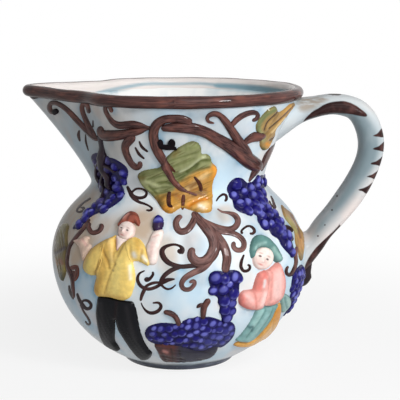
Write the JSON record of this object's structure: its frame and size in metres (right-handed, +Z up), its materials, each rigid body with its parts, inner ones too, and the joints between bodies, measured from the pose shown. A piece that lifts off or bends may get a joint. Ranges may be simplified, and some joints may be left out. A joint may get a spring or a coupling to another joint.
{
  "type": "pouring jug",
  "caption": "Round-bellied glazed earthenware pouring jug with a flared neck, pinched spout, strap handle and a grape-harvest relief of applied vine, leaves, grapes and figures",
  "frame": {"origin": "middle of the foot ring's underside, on the surface that the jug stands on", "axes": "+Z up, -X towards the spout, +X towards the handle, -Y towards the figures' side"},
  "size_m": [0.23, 0.1657, 0.1768],
  "materials": {
    "ground_glaze": "gloss",
    "foot_glaze": "gloss",
    "rim_glaze": "gloss",
    "vine_glaze": "gloss",
    "scroll_glaze": "gloss",
    "leaf_glaze": "gloss",
    "grape_glaze": "gloss",
    "basket_glaze": "gloss",
    "skin_glaze": "gloss",
    "hair_glaze": "gloss",
    "shirt_glaze": "gloss",
    "trouser_glaze": "gloss",
    "teal_glaze": "gloss",
    "coral_glaze": "gloss",
    "hem_glaze": "gloss"
  },
  "bodies": {
    "root": {"foot_ring": "foot_glaze", "belly": "ground_glaze", "neck": "ground_glaze", "rim_bead": "rim_glaze", "handle": "ground_glaze", "basket": "basket_glaze", "bunch_stem": "vine_glaze", "far_grapes_hang": "grape_glaze", "far_grapes_left": "grape_glaze", "far_grapes_right": "grape_glaze", "far_leaf": "leaf_glaze", "far_loop": "vine_glaze", "far_scroll": "scroll_glaze", "far_trunk": "vine_glaze", "grapes_heap": "grape_glaze", "grapes_neck_left": "grape_glaze", "grapes_neck_right": "grape_glaze", "grapes_picked": "grape_glaze", "grapes_side": "grape_glaze", "handle_spur": "rim_glaze", "heap_stems": "vine_glaze", "hook_left": "vine_glaze", "hook_right": "vine_glaze", "leaf_centre": "leaf_glaze", "leaf_handle": "leaf_glaze", "leaf_left": "leaf_glaze", "leaf_right": "leaf_glaze", "leaf_stem": "vine_glaze", "man_arms": "skin_glaze", "man_grape": "grape_glaze", "man_hair": "hair_glaze", "man_head": "skin_glaze", "man_shirt": "shirt_glaze", "man_sleeves": "shirt_glaze", "man_trousers": "trouser_glaze", "scroll_left": "scroll_glaze", "scroll_low": "scroll_glaze", "scroll_main": "scroll_glaze", "scroll_right": "scroll_glaze", "scroll_stem": "scroll_glaze", "scroll_tail": "scroll_glaze", "shoot_handle": "vine_glaze", "shoot_left": "vine_glaze", "vine_curl_hang": "vine_glaze", "vine_curl_rim": "vine_glaze", "vine_curl_spout": "vine_glaze", "vine_left_high": "vine_glaze", "vine_left_low": "vine_glaze", "vine_loop": "vine_glaze", "vine_trunk": "vine_glaze", "vine_twig_high": "vine_glaze", "vine_twig_low": "vine_glaze", "woman_blouse": "coral_glaze", "woman_head": "skin_glaze", "woman_hem": "hem_glaze", "woman_sash": "teal_glaze", "woman_scarf": "teal_glaze", "woman_skirt": "teal_glaze", "woman_sleeve": "coral_glaze"}
  },
  "joints": []
}
